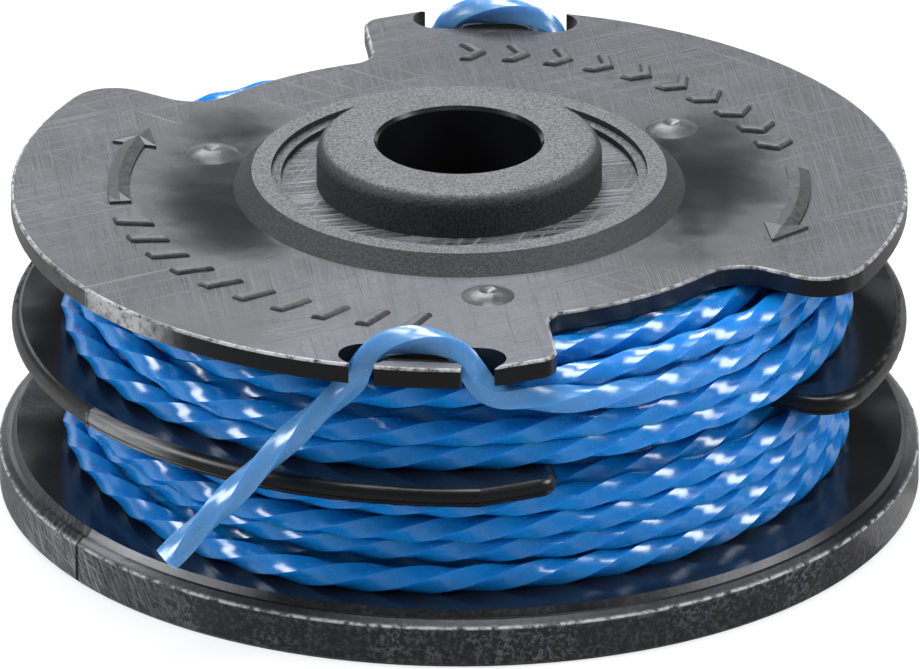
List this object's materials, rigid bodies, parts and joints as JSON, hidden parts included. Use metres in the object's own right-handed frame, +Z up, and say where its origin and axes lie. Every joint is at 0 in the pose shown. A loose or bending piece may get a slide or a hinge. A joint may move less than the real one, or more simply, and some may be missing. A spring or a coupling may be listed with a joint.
{
  "type": "trimmer line spool",
  "caption": "Round moulded spool with stacked chambers of wound twisted trimmer line, hooked line clips in the top flange and a raised hub around a central bore.",
  "frame": {"origin": "centre of the underside, on the bore's axis", "axes": "+Z up along the bore axis towards the boss, -Y towards the front line clip"},
  "size_m": [0.066, 0.066, 0.0263],
  "materials": {
    "spool": "satin moulded nylon, worn at its edges",
    "line": "glossy translucent twisted nylon"
  },
  "bodies": {
    "root": {"spool": "spool", "upper_winding": "line", "lower_winding": "line", "front_line_end": "line", "rear_line_end": "line"}
  },
  "joints": []
}
